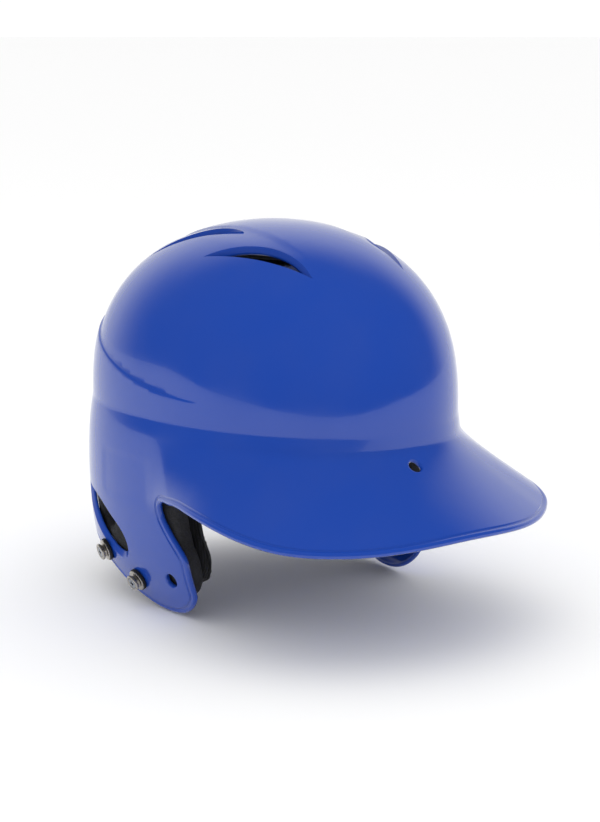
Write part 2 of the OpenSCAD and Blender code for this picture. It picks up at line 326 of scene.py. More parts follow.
    def normals(self, plane: np.ndarray) -> np.ndarray:
        """Outward normals at places of the plane."""
        sx, sy = self.slopes(plane, self.points, 0.2)
        return unit(np.cross(sx, sy))

    def find(self, targets: np.ndarray, axes: tuple[int, int], side: int) -> np.ndarray:
        """Places whose points have the given coordinates in a view.

        Args:
            targets: Two coordinates for each point wanted.
            axes: Which coordinates they are: (0, 2) in a side view, and (0, 1) in plan.
            side: The sign of Y.

        Returns:
            The places, one a row.
        """
        shares, lengths = self.meridian()
        x = np.clip(targets[:, 0] / self.half_length, -0.98, 0.98)
        if axes == (0, 2):
            start = self.polar(side * np.degrees(np.arccos(x)), lengths[-1] + self.ring_z - targets[:, 1])
            high = targets[:, 1] > self.ring_z
            up = np.clip((targets[:, 1] - self.ring_z) / self.dome_height, 0, 0.999)
            q = 1 - np.degrees(np.arcsin(up ** 1.3)) / 90
            flat = np.clip(x / np.maximum(1e-3, np.sin(np.radians(90 * q))), -0.98, 0.98)
            dome = self.polar(side * np.degrees(np.arccos(flat)), np.interp(q, shares, lengths))
            start = np.where(high[:, None], dome, start)
        else:
            y = targets[:, 1] / self.half_width
            s = np.clip(np.hypot(x, y), 0.01, 0.99)
            start = self.polar(
                np.degrees(np.arctan2(y, x)), np.interp(1 - np.degrees(np.arccos(s)) / 90, shares, lengths)
            )
        plane, pick = start, list(axes)
        for _ in range(30):
            miss = self.plain_points(plane)[:, pick] - targets
            sx, sy = self.slopes(plane, self.plain_points, 0.3)
            a, c = sx[:, pick[0]], sx[:, pick[1]]
            b, d = sy[:, pick[0]], sy[:, pick[1]]
            det = a * d - b * c
            det = np.where(np.abs(det) < 0.02, np.sign(det + TINY) * 0.02, det)
            move = np.stack([(d * miss[:, 0] - b * miss[:, 1]) / det, (a * miss[:, 1] - c * miss[:, 0]) / det], axis=-1)
            size = np.linalg.norm(move, axis=1, keepdims=True)
            plane = plane - move * np.minimum(1.0, 8.0 / np.maximum(size, 1e-9))
        return plane

    def resampled(self, loop: np.ndarray, spacing: float) -> np.ndarray:
        """A closed loop of places at an even spacing on the skin."""
        line = np.vstack([loop, loop[:1]])
        shares = (0.0, 0.25, 0.5, 0.75)
        fine = np.vstack([line[:-1] + (line[1:] - line[:-1]) * t for t in shares])
        order = np.argsort(np.tile(np.arange(len(loop)), len(shares)) + np.repeat(shares, len(loop)))
        fine = np.vstack([fine[order], line[-1:]])
        along = np.concatenate([[0], np.cumsum(np.linalg.norm(np.diff(self.plain_points(fine), axis=0), axis=1))])
        count = max(6, round(along[-1] / spacing))
        wanted = np.linspace(0, along[-1], count + 1)[:-1]
        return np.stack([np.interp(wanted, along, fine[:, i]) for i in (0, 1)], axis=-1)

    def frames(self, loop: np.ndarray) -> tuple[np.ndarray, np.ndarray, np.ndarray]:
        """Points, normals and leftward directions along a closed loop of places."""
        p, n = self.points(loop), self.normals(loop)
        t = unit(np.roll(p, -1, axis=0) - np.roll(p, 1, axis=0))
        return p, n, unit(np.cross(n, t))

    def shifted(self, loop: np.ndarray, distance: float) -> np.ndarray:
        """A closed loop moved to its left along the skin, in short steps."""
        count = max(1, math.ceil(abs(distance) / 1.2))
        for _ in range(count):
            left = self.frames(loop)[2]
            sx, sy = self.slopes(loop, self.plain_points, 0.3)
            goal = left * (distance / count)
            xx, xy, yy = (sx * sx).sum(1), (sx * sy).sum(1), (sy * sy).sum(1)
            gx, gy = (sx * goal).sum(1), (sy * goal).sum(1)
            det = xx * yy - xy * xy
            loop = loop + np.stack([(yy * gx - xy * gy) / det, (xx * gy - xy * gx) / det], axis=-1)
        return loop


@dataclass
class Sheet:
    """A region of the head form cut into triangles, bounded by one loop and any holes."""

    form: HeadForm
    rim: np.ndarray
    holes: list[np.ndarray] = field(default_factory=list)
    lines: list[np.ndarray] = field(default_factory=list)
    spacing: float = 3.0

    def grid(self) -> np.ndarray:
        """Places in rings round the crown, about evenly spaced, clear of every edge."""
        far = float(np.max(np.hypot(self.rim[:, 0], self.rim[:, 1])))
        near = [np.zeros((1, 2))]
        angles = np.linspace(-180, 180, 361)
        for k in range(1, int(far / self.spacing) + 1):
            radius = k * self.spacing
            ring = self.form.polar(angles, np.full_like(angles, radius))
            steps = np.linalg.norm(np.diff(self.form.plain_points(ring), axis=0), axis=1)
            along = np.concatenate([[0], np.cumsum(steps)])
            count = max(6, round(along[-1] / self.spacing))
            wanted = (np.arange(count) + 0.5 * (k % 2)) / count * along[-1]
            a = np.interp(wanted, along, angles)
            near.append(self.form.polar(a, np.full_like(a, radius)))
        points = np.vstack(near)
        keep = inside(points, self.rim)
        for hole in self.holes:
            keep &= ~inside(points, hole)
        points = points[keep]
        edges = np.vstack([self.rim, *self.holes, *self.lines])
        tree = KDTree(len(edges))
        for i, (x, y) in enumerate(edges):
            tree.insert((x, y, 0), i)
        tree.balance()
        return points[[tree.find((x, y, 0))[2] > 0.62 * self.spacing for x, y in points]]

    def cut(self) -> tuple[np.ndarray, np.ndarray, list[np.ndarray]]:
        """Cuts the region into triangles.

        Returns:
            The places, the triangles, and the numbers of the places along each loop, the rim first.
        """
        loops = [self.rim, *self.holes]
        parts, edges, numbers, start = [], [], [], 0
        for loop in loops:
            n = len(loop)
            edges += [(start + i, start + (i + 1) % n) for i in range(n)]
            numbers.append(np.arange(start, start + n))
            parts.append(loop)
            start += n
        for line in self.lines:
            edges += [(start + i, start + i + 1) for i in range(len(line) - 1)]
            parts.append(line)
            start += len(line)
        parts.append(self.grid())
        places = np.vstack(parts)
        verts, _, faces, _, _, _ = delaunay_2d_cdt([Vector(p) for p in places], edges, [], 0, 1e-6)
        if len(verts) != len(places):
            LOG.warning("cut made %d places from %d", len(verts), len(places))
        places = np.array([(v.x, v.y) for v in verts])
        triangles = np.array([tuple(f) for f in faces if len(f) == 3])
        centres = places[triangles].mean(axis=1)
        keep = inside(centres, self.rim)
        for hole in self.holes:
            keep &= ~inside(centres, hole)
        return places, triangles[keep], numbers


# ---------------------------------------------------------------- finishes


def linear(colour: str) -> tuple[float, float, float, float]:
    """Linear RGBA of an sRGB hex colour."""
    parts = [int(colour[i : i + 2], 16) / 255 for i in (1, 3, 5)]
    r, g, b = (c / 12.92 if c <= 0.04045 else ((c + 0.055) / 1.055) ** 2.4 for c in parts)
    return r, g, b, 1.0


def add(
    tree: bpy.types.NodeTree, kind: str, links: dict[str | int, Any] | None = None, **settings: Any
) -> bpy.types.Node:
    """Adds a node with its settings and the values or links of its inputs.

    Args:
        tree: The node tree.
        kind: The node's type name.
        links: Input name or number to a value, or to the socket that feeds it.
        **settings: The node's own properties.

    Returns:
        The node.
    """
    node = tree.nodes.new(kind)
    for key, value in settings.items():
        setattr(node, key, value)
    for key, value in (links or {}).items():
        if isinstance(value, bpy.types.NodeSocket):
            tree.links.new(value, node.inputs[key])
        else:
            node.inputs[key].default_value = value
    return node


def noise(tree: bpy.types.NodeTree, place: bpy.types.NodeSocket, scale: float, detail: float) -> bpy.types.NodeSocket:
    """A noise of the given scale and detail."""
    return add(tree, "ShaderNodeTexNoise", {"Vector": place, "Scale": scale, "Detail": detail}).outputs["Fac"]


def ranged(
    tree: bpy.types.NodeTree,
    value: bpy.types.NodeSocket,
    source: tuple[float, float],
    result: tuple[float, float] = (0.0, 1.0),
    curve: str = "LINEAR",
) -> bpy.types.NodeSocket:
    """A value moved from one range to another."""
    links = {"Value": value, "From Min": source[0], "From Max": source[1], "To Min": result[0], "To Max": result[1]}
    return add(tree, "ShaderNodeMapRange", links, interpolation_type=curve).outputs["Result"]


def maths(tree: bpy.types.NodeTree, operation: str, *values: bpy.types.NodeSocket | float) -> bpy.types.NodeSocket:
    """A sum worked on values or sockets."""
    return add(tree, "ShaderNodeMath", dict(enumerate(values)), operation=operation).outputs[0]


def emboss(
    tree: bpy.types.NodeTree,
    shader: bpy.types.Node,
    height: bpy.types.NodeSocket,
    strength: float,
    depth: float,
) -> None:
    """Bumps a shader's surface by a height, depth metres deep."""
    bump = add(tree, "ShaderNodeBump", {"Height": height, "Strength": strength, "Distance": depth})
    tree.links.new(bump.outputs["Normal"], shader.inputs["Normal"])


def toned(
    tree: bpy.types.NodeTree,
    shader: bpy.types.Node,
    factor: bpy.types.NodeSocket,
    dark: str,
    light: str,
    start: float = 0.0,
) -> None:
    """Colours a shader from dark to light by a factor."""
    ramp = add(tree, "ShaderNodeValToRGB", {"Fac": factor})
    first, last = ramp.color_ramp.elements
    first.position = start
    first.color, last.color = linear(dark), linear(light)
    tree.links.new(ramp.outputs["Color"], shader.inputs["Base Color"])


@dataclass(frozen=True)
class Finish:
    """Base of every finish: a name, a colour and the shader's even values."""

    name: str
    colour: str
    roughness: float = 0.5
    metallic: float = 0.0

    def material(self) -> bpy.types.Material:
        """The finish as a material, made once."""
        known = bpy.data.materials.get(self.name)
        if known:
            return known
        made = bpy.data.materials.new(self.name)
        made.use_nodes = True
        tree = made.node_tree
        shader = tree.nodes["Principled BSDF"]
        shader.inputs["Base Color"].default_value = linear(self.colour)
        shader.inputs["Roughness"].default_value = self.roughness
        shader.inputs["Metallic"].default_value = self.metallic
        self.detail(tree, shader, add(tree, "ShaderNodeTexCoord").outputs["Object"])
        return made

    def detail(self, tree: bpy.types.NodeTree, shader: bpy.types.Node, place: bpy.types.NodeSocket) -> None:
        """Adds the finish's own pattern. The base has none."""


@dataclass(frozen=True)
class MouldedABS(Finish):
    """Injection-moulded ABS under a clear gloss: a deep even colour with sharp reflections.

    Its faint orange peel keeps long reflections from being ruler-straight, and handling leaves
    fine cloudy marks in the gloss.
    """

    peel_mm: float = 7.0
    marks_mm: float = 30.0
    gloss: tuple[float, float] = (0.1, 0.2)

    def detail(self, tree: bpy.types.NodeTree, shader: bpy.types.Node, place: bpy.types.NodeSocket) -> None:
        """Orange peel in the bump, and cloudy marks and hairlines in the gloss."""
        gloss = ranged(tree, noise(tree, place, 1000 / self.marks_mm, 6.0), (0.35, 0.7), self.gloss)
        tree.links.new(gloss, shader.inputs["Roughness"])
        peel = noise(tree, place, 1000 / self.peel_mm, 1.0)
        grain = noise(tree, place, 1600.0, 2.0)
        emboss(tree, shader, maths(tree, "MULTIPLY_ADD", grain, 0.06, peel), 0.06, 0.0006)
        shader.inputs["IOR"].default_value = 1.48
        shader.inputs["Coat Weight"].default_value = 0.35
        shader.inputs["Coat Roughness"].default_value = 0.03


@dataclass(frozen=True)
class KnitLining(Finish):
    """Warp-knitted polyester over soft foam: matt black, with a fine rib whose crests are painted lighter and hollows
    darker, as painted highlight and painted shade.

    Real wales are about 0.8 mm apart. They are drawn at 1.4 mm so that they still show.
    """

    rib_mm: float = 1.4
    wear: tuple[float, float] = (0.72, 0.92)

    def detail(self, tree: bpy.types.NodeTree, shader: bpy.types.Node, place: bpy.types.NodeSocket) -> None:
        """Two crossed waves for the knit, in the bump and in the colour as painted highlight on the crests and painted
        shade in the hollows, and a soft change of gloss over it.
        """
        waves = [
            add(
                tree,
                "ShaderNodeTexWave",
                {"Vector": place, "Scale": 314.0 / (self.rib_mm * factor), "Distortion": 0.4, "Detail": 1.0},
                bands_direction=direction,
            ).outputs["Fac"]
            for direction, factor in (("X", 1.0), ("Z", 0.8), ("Y", 1.1))
        ]
        pair = maths(tree, "MAXIMUM", waves[0], waves[1])
        knit = maths(tree, "MULTIPLY", pair, waves[2])
        # The rib is painted into the colour: lighter crests as painted highlight, darker hollows as painted shade.
        toned(tree, shader, ranged(tree, knit, (0.2, 0.9)), "#08080a", self.colour)
        worn = noise(tree, place, 45.0, 5.0)
        tree.links.new(ranged(tree, worn, (0.3, 0.7), self.wear), shader.inputs["Roughness"])
        emboss(tree, shader, knit, 0.5, 0.0004)
        shader.inputs["Sheen Weight"].default_value = 0.15
        shader.inputs["Specular IOR Level"].default_value = 0.25
        shader.inputs["Sheen Roughness"].default_value = 0.5


@dataclass(frozen=True)
class CellFoam(Finish):
    """Closed-cell foam, split from a block: dark and dull, its cut cells a fine pitted grain of 0.5 to 1 mm."""

    cell_mm: float = 0.9

    def detail(self, tree: bpy.types.NodeTree, shader: bpy.types.Node, place: bpy.types.NodeSocket) -> None:
        """Cells in the bump, and in the tone as painted shade in their pits, mixed with a random change of tone."""
        cells = add(tree, "ShaderNodeTexVoronoi", {"Vector": place, "Scale": 1000 / self.cell_mm}).outputs["Distance"]
        # The pits of the cells are painted darker as painted shade, over a random change of tone from the noise.
        pit_shade_and_tone = maths(tree, "MULTIPLY_ADD", cells, 0.6, noise(tree, place, 60.0, 4.0))
        toned(tree, shader, pit_shade_and_tone, "#101012", self.colour, start=0.3)
        emboss(tree, shader, cells, 0.6, 0.0004)


@dataclass(frozen=True)
class PlatedSteel(Finish):
    """Barrel-plated steel: bright metal with faint turned lines and handling marks in its gloss."""

    line_mm: float = 0.25

    def detail(self, tree: bpy.types.NodeTree, shader: bpy.types.Node, place: bpy.types.NodeSocket) -> None:
        """Hairlines in the bump and uneven gloss."""
        marks = noise(tree, place, 1000 / self.line_mm / 4, 5.0)
        rough = ranged(tree, marks, (0.3, 0.7), (self.roughness * 0.7, self.roughness * 1.5))
        tree.links.new(rough, shader.inputs["Roughness"])
        emboss(tree, shader, marks, 0.08, 0.0002)


@dataclass(frozen=True)
class MouldedRubber(Finish):
    """Compression-moulded rubber: near black and dull, with a fine matt grain."""

    dust: tuple[float, float] = (0.5, 0.78)

    def detail(self, tree: bpy.types.NodeTree, shader: bpy.types.Node, place: bpy.types.NodeSocket) -> None:
        """Fine grain in the bump and dusty patches in the gloss."""
        grain = noise(tree, place, 2200.0, 3.0)
        tree.links.new(ranged(tree, grain, (0.0, 1.0), self.dust), shader.inputs["Roughness"])
        emboss(tree, shader, grain, 0.25, 0.0002)


@dataclass(frozen=True)
class PaperBackdrop(Finish):
    """Seamless studio paper: pale, matt and almost even."""

    def detail(self, tree: bpy.types.NodeTree, shader: bpy.types.Node, place: bpy.types.NodeSocket) -> None:
        """A slight fibre tone."""
        emboss(tree, shader, noise(tree, place, 300.0, 3.0), 0.03, 0.0003)


ABS = MouldedABS("gloss_moulded_abs", "#1a43a3")
LINING = KnitLining("knitted_lining", "#1b1c20")
THREAD = MouldedRubber("bonded_thread", "#2a2b30")
FOAM = CellFoam("closed_cell_foam", "#2a2a2d", roughness=0.9)
NICKEL = PlatedSteel("nickel_plated_steel", "#b3aea6", roughness=0.26, metallic=1.0)
ZINC = PlatedSteel("zinc_plated_steel", "#9fa3a8", roughness=0.32, metallic=1.0)
DARK_RING = MouldedRubber("moulded_rubber", "#111113")
PAPER = PaperBackdrop("studio_paper", "#fdfdfd", roughness=0.95)


def dress(piece: bpy.types.Object, finish: Finish) -> None:
    """Gives a piece one finish."""
    piece.data.materials.clear()
    piece.data.materials.append(finish.material())


def enter(piece: bpy.types.Object, slot: str, *nodes: str) -> None:
    """Puts a finished piece on the helmet, in place of the nodes it stands for."""
    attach(piece, "root")
    if nodes:
        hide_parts(*nodes)
    LOG.info("%s: %d faces", piece.name, len(piece.data.polygons))


# ---------------------------------------------------------------- the shell

RIM = [
    (-150, 46), (-128, 45), (-104, 41), (-84, 35), (-64, 27), (-44, 16.5), (-26, 7), (-9, 1.2), (6, 0),
    (20, 3), (31, 11.5), (36, 25), (32.5, 39), (23.5, 52), (18, 61), (18.5, 67), (23.5, 70.5), (34, 71.5), (45, 72),
]  # fmt: skip
EAR = [
    (-75, 60), (-60, 58.5), (-47, 55.5), (-35, 49.5), (-25, 43.5), (-20.5, 37.5), (-22, 31.5), (-28, 30.2),
    (-38, 33), (-52, 40.5), (-64, 48.5), (-74, 57),
]  # fmt: skip


@dataclass(frozen=True)
class Vent:
    """A pointed half-moon vent: two tips in plan, and how far each side bows."""

    front: tuple[float, float]
    rear: tuple[float, float]
    bow: float = 10.0
    sag: float = 1.5
    inset: float = 0.09

    def outline(self, side: int, low: float, high: float, inset: float, count: int = 26) -> np.ndarray:
        """Closed outline in plan.

        Args:
            side: The sign of Y.
            low: Bow of the outer side, in millimetres off the chord.
            high: Bow of the inner side.
            inset: Share of the chord left out at each tip.
            count: Points along each side.
        """
        p, q = np.array(self.front), np.array(self.rear)
        across = unit(np.array([[q[1] - p[1], p[0] - q[0]]]))[0]
        inward = np.array([-abs(across[0]) * 0.35, -abs(across[1])])
        t = (1 - np.cos(np.linspace(0, np.pi, count))) / 2
        chord = p + (q - p) * (inset + (1 - 2 * inset) * t)[:, None]
        upper = chord + inward * (4 * high * t * (1 - t) + (1.2 if inset else 0.0))[:, None]
        lower = chord + inward * (4 * low * t * (1 - t) + (0.6 if inset else 0.0))[:, None]
        loop = np.vstack([upper, lower[::-1][1:-1]])
        return loop * np.array([1, side])


@dataclass
class Shell:
    """The moulded shell: skin, wall, rolled edge, vents, ear openings and screw holes."""

    wall: float = 3.2
    lip: float = 4.6
    ear_band: float = 3.4
    spacing: float = 2.7
    form: HeadForm = field(default_factory=lambda: HeadForm(relief=True))
    vents: tuple[Vent, ...] = (Vent((74, 31), (6.5, 56)), Vent((8, 30), (-55, 54)))

    def half_rim(self) -> np.ndarray:
        """The rim's places on the left, from the middle of the brim round to the nape."""
        form = self.form
        start = form.ring_radius()
        a = np.arange(0, 67, 1.0)
        front = form.polar(a, start + form.ring_z - form.edge_z(a))
        curve = spline(RIM, 6, closed=False)[::-1]
        flap = form.find(curve[(curve[:, 0] < 34) & (curve[:, 0] > -84)], (0, 2), 1)
        last = math.degrees(math.atan2(flap[-1, 1], flap[-1, 0]))
        a = np.linspace(last + 1.5, 180, 40)
        w = np.full_like(a, 72.0)
        order = np.argsort(curve[:, 0])
        for _ in range(12):
            x = form.skirt(a, w)[:, 0]
            w = form.ring_z - np.interp(x, curve[order, 0], curve[order, 1])
        return np.vstack([front, flap, form.polar(a, start + w)])

    def rim(self) -> np.ndarray:
        """The whole rim."""
        left = self.half_rim()
        right = (left * np.array([1, -1]))[::-1][1:-1]
        loop = np.vstack([left, right])
        return counter_clockwise(self.form.resampled(loop, 2.4))

    def circle(self, a: float, depth: float, radius: float, count: int = 36) -> np.ndarray:
        """A round hole's places, at an angle from the front and a depth under the ring."""
        form = self.form
        centre = form.polar(np.array([a]), np.array([form.ring_radius() + depth]))
        sx, sy = form.slopes(centre, form.plain_points, 0.3)
        basis = np.stack([sx[0], sy[0]], axis=1)
        u = unit(sx)[0]
        v = np.cross(form.plain_normals(centre)[0], u)
        turn = np.linspace(0, 2 * np.pi, count, endpoint=False)
        goal = radius * (np.cos(turn)[:, None] * u + np.sin(turn)[:, None] * v)
        return centre + np.linalg.lstsq(basis, goal.T, rcond=None)[0].T

    @staticmethod
    def roll(radius: float, wall: float) -> Section:
        """Section of a rounded edge, as (off the sheet, up), from the outer face to the inner one."""
        turn = np.linspace(0, np.pi / 2, 6)
        top = [(radius * math.sin(t), radius * (math.cos(t) - 1)) for t in turn]
        low = [(radius * math.cos(t), -wall + radius * (1 - math.sin(t))) for t in turn]
        return [*top, *low, (0.0, -wall)]

    def lip_section(self) -> Section:
        """Section of the rolled edge: a shallow groove, then a rounded lip."""
        wide = self.lip - 0.15
        return [
            (0, 0), (0.35, -0.28), (0.75, -0.62), (1.15, -0.68), (1.5, -0.46), (1.9, -0.2), (2.5, -0.04), (3.1, -0.07),
            (wide - 0.8, -0.3), (wide - 0.3, -0.75), (wide - 0.02, -1.4), (wide, -2.0), (wide - 0.3, -2.8),
            (wide - 1.1, -3.4), (wide - 2.2, -3.45), (0, -self.wall),
        ]  # fmt: skip

    def rings(self, loop: np.ndarray, section: Section, side: int) -> np.ndarray:
        """Rings of an edge: the loop swept through a section. side is 1 in a hole and -1 at the rim."""
        p, n, left = self.form.frames(loop)
        return np.stack([p + side * left * x + n * y for x, y in section])

    def vent_rings(self, vent: Vent, side: int) -> tuple[np.ndarray, np.ndarray]:
        """A vent's outline, and the rings of its sloping wall down to the opening."""
        form = self.form
        outer = vent.outline(side, -vent.sag, vent.bow, 0.0)
        inner = vent.outline(side, -1.5, vent.bow - 3.0, vent.inset)
        turned = np.array_equal(counter_clockwise(outer), outer)
        if not turned:
            outer, inner = outer[::-1], inner[::-1]
        steps = [(0.0, 0.0), (0.05, 0.12), (0.12, 0.4), (0.5, 1.6), (0.9, 2.9), (1.0, 3.3), (1.02, 3.8), (1.0, 4.6)]
        steps += [(0.5, 4.4), (0.2, 3.8), (0.0, self.wall)]
        places = [form.find(outer + (inner - outer) * f, (0, 1), side) for f, _ in steps]
        stack = [form.plain_points(p) - d * form.plain_normals(p) for p, (_, d) in zip(places, steps)]
        stack[0] = form.points(places[0])
        stack[-1] = form.points(places[0]) - self.wall * form.normals(places[0])
        return places[0], np.stack(stack)

    def build(self) -> bpy.types.Object:
        """Builds the shell's mesh."""
        form = self.form
        rim = form.shifted(self.rim(), self.lip)
        rim = form.resampled(rim, 2.4)
        loops: list[tuple[np.ndarray, np.ndarray]] = [(rim, self.rings(rim, self.lip_section(), -1))]
        round_hole = self.roll(1.2, self.wall)
        for a, depth, radius, section in [
            (0, 17, 3.5, self.roll(1.5, self.wall)),
            *[(s * 81.5, 91, 4.0, round_hole) for s in (-1, 1)],
            *[(s * at[0], at[1], 3.1, self.roll(0.4, self.wall)) for s in (-1, 1) for at in ((97, 97), (112, 86))],
        ]:
            loop = counter_clockwise(self.circle(a, depth, radius + section[5][0]))
            loops.append((loop, self.rings(loop, section, 1)))
        band = self.ear_band
        chamfer = [
            (0, 0), (0.3, -0.06), (0.6, -0.22), (1.6, -0.85), (2.6, -1.5), (band - 0.3, -1.85), (band, -2.3),
            (band - 0.1, -2.9), (band - 0.5, -3.15), (0, -self.wall),
        ]  # fmt: skip
        for s in (-1, 1):
            ear = form.find(spline(EAR, 5, closed=True), (0, 2), s)
            ear = form.resampled(counter_clockwise(ear), 2.0)
            ear = form.resampled(form.shifted(ear, -band), 2.0)
            loops.append((ear, self.rings(ear, chamfer, 1)))
            loops += [self.vent_rings(v, s) for v in self.vents]
        lines = []
        for s in (-1, 1):
            x = np.linspace(-100, 40, 60)
            for over in (0.0, 0.75, 1.5):
                lines.append(form.find(np.stack([x, form.ledge_z(x) + over], axis=-1), (0, 2), s))
            x = np.linspace(-62, 56, 46)
            for y in (25.2, 26.8):
                lines.append(form.find(np.stack([x, np.full_like(x, s * y)], axis=-1), (0, 1), s))
        sheet = Sheet(form, rim, [loop for loop, _ in loops[1:]], lines, self.spacing)
        places, triangles, numbers = sheet.cut()
        return self._join(places, triangles, numbers, [rings for _, rings in loops])

    def _join(
        self, places: np.ndarray, triangles: np.ndarray, numbers: list[np.ndarray], rings: list[np.ndarray]
    ) -> bpy.types.Object:
        """Joins the two faces of the wall with the edges' rings."""
        form = self.form
        outer, normal = form.points(places), form.normals(places)
        count = len(places)
        points, normals = [outer, outer - self.wall * normal], [normal, -normal]
        faces = [tuple(t) for t in triangles.tolist()]
        faces += [(c + count, b + count, a + count) for a, b, c in triangles.tolist()]
        base = 2 * count
        for index, (loop, stack) in enumerate(zip(numbers, rings)):
            n, side = len(loop), -1 if index == 0 else 1
            forward = np.roll(stack, -1, axis=1) - np.roll(stack, 1, axis=1)
            down = np.gradient(stack, axis=0)
            turned = unit(np.cross(forward, down)) * side
            rows = [loop]
            for k in range(1, len(stack) - 1):
                points.append(stack[k])
                normals.append(turned[k])
                rows.append(np.arange(base, base + n))
                base += n
            rows.append(loop + count)
            for upper, lower in zip(rows, rows[1:]):
                for i in range(n):
                    j = (i + 1) % n
                    quad = (upper[i], upper[j], lower[j], lower[i])
                    faces.append(tuple(int(v) for v in (quad if side > 0 else quad[::-1])))
        return mesh_object("shell_moulding", np.vstack(points), faces, np.vstack(normals), outward=False)

    def make(self) -> None:
        """Builds, dresses and enters the shell."""
        piece = self.build()
        dress(piece, ABS)
        enter(piece, "shell", "shell")


# ---------------------------------------------------------------- pads


def inflate(piece: bpy.types.Object, cap: float) -> None:
    """Swells a closed cloth form with pressure and applies the result.

    Args:
        piece: The form, changed in place.
        cap: The most that a point may move, in millimetres.
    """
    scene = bpy.context.scene
    cloth = piece.modifiers.new("cloth", "CLOTH")
    cloth.settings.quality = 5
    cloth.settings.mass = 0.2
    cloth.settings.use_pressure = True
    cloth.settings.uniform_pressure_force = 4.0
    cloth.settings.effector_weights.gravity = 0.0
    before = np.array([v.co[:] for v in piece.data.vertices])
    for frame in range(1, 21):
        scene.frame_set(frame)
    seen = piece.evaluated_get(bpy.context.evaluated_depsgraph_get())
    after = np.array([v.co[:] for v in seen.data.vertices])
    move = after - before
    size = np.linalg.norm(move, axis=1, keepdims=True)
    after = before + move * np.minimum(1.0, cap * MM / np.maximum(size, 1e-9))
    piece.modifiers.remove(cloth)
    piece.data.vertices.foreach_set("co", after.ravel())
    piece.data.update()
    scene.frame_set(1)


def applied(piece: bpy.types.Object) -> None:
    """Turns a piece's modifiers into mesh."""
    seen = piece.evaluated_get(bpy.context.evaluated_depsgraph_get())
    mesh = bpy.data.meshes.new_from_object(seen)
    piece.modifiers.clear()
    piece.data = mesh


def stitch_tree(finish: Finish) -> bpy.types.NodeTree:
    """Geometry Nodes that lay stitches along a seam.

    Args:
        finish: The thread's finish.

    Returns:
        The tree, with inputs Pitch, Length and Thickness, in metres.
    """
    name = "stitches_" + finish.name
    known = bpy.data.node_groups.get(name)
    if known:
        return known
    tree = bpy.data.node_groups.new(name, "GeometryNodeTree")
    tree.interface.new_socket("Geometry", in_out="INPUT", socket_type="NodeSocketGeometry")
    for label, size in (("Pitch", 0.0032), ("Length", 0.0011), ("Thickness", 0.00035)):
        socket = tree.interface.new_socket(label, in_out="INPUT", socket_type="NodeSocketFloat")
        socket.default_value = size
    tree.interface.new_socket("Geometry", in_out="OUTPUT", socket_type="NodeSocketGeometry")
    source = add(tree, "NodeGroupInput")
    path = add(tree, "GeometryNodeMeshToCurve", {"Mesh": source.outputs["Geometry"]})
    dots = add(
        tree, "GeometryNodeCurveToPoints", {"Curve": path.outputs["Curve"], "Length": source.outputs["Pitch"]},
        mode="LENGTH",
    )  # fmt: skip
    ball = add(tree, "GeometryNodeMeshUVSphere", {"Segments": 8, "Rings": 5, "Radius": 1.0})
    size = add(
        tree,
        "ShaderNodeCombineXYZ",
        {"X": source.outputs["Thickness"], "Y": source.outputs["Thickness"], "Z": source.outputs["Length"]},
    )
    laid = add(
        tree,
        "GeometryNodeInstanceOnPoints",
        {
            "Points": dots.outputs["Points"],
            "Instance": ball.outputs["Mesh"],
            "Rotation": dots.outputs["Rotation"],
            "Scale": size.outputs["Vector"],
        },
    )
    real = add(tree, "GeometryNodeRealizeInstances", {"Geometry": laid.outputs["Instances"]})
    thread = add(tree, "GeometryNodeSetMaterial", {"Geometry": real.outputs["Geometry"], "Material": finish.material()})
    add(tree, "NodeGroupOutput", {"Geometry": thread.outputs["Geometry"]})
    return tree


def stitches(name: str, path: np.ndarray, pitch: float = 3.2) -> bpy.types.Object:
    """A run of stitches along a closed path of points, in millimetres."""
    n = len(path)
    mesh = bpy.data.meshes.new(name)
    mesh.from_pydata((path * MM).tolist(), [(i, (i + 1) % n) for i in range(n)], [])
    piece = bpy.data.objects.new(name, mesh)
    bpy.context.scene.collection.objects.link(piece)
    tree = stitch_tree(THREAD)
    modifier = piece.modifiers.new("stitches", "NODES")
    modifier.node_group = tree
    sockets = {s.name: s.identifier for s in tree.interface.items_tree if s.in_out == "INPUT"}
    modifier[sockets["Pitch"]] = pitch * MM
    applied(piece)
    piece.data.shade_smooth()
    return piece


def tube(name: str, path: np.ndarray, radius: float, sides: int = 8) -> bpy.types.Object:
    """A round cord of cloth piping along a closed path of points, in millimetres."""
    forward = unit(np.roll(path, -1, axis=0) - np.roll(path, 1, axis=0))
    centre = path.mean(axis=0)
    across = unit(np.cross(forward, path - centre + 1e-6))
    up = np.cross(across, forward)
    turn = np.linspace(0, 2 * np.pi, sides, endpoint=False)
    rings = path[:, None] + radius * (
        np.cos(turn)[None, :, None] * across[:, None] + np.sin(turn)[None, :, None] * up[:, None]
    )
    n = len(path)
    faces = [
        (i * sides + k, i * sides + (k + 1) % sides, ((i + 1) % n) * sides + (k + 1) % sides, ((i + 1) % n) * sides + k)
        for i in range(n)
        for k in range(sides)
    ]
    return mesh_object(name, rings.reshape(-1, 3), faces)


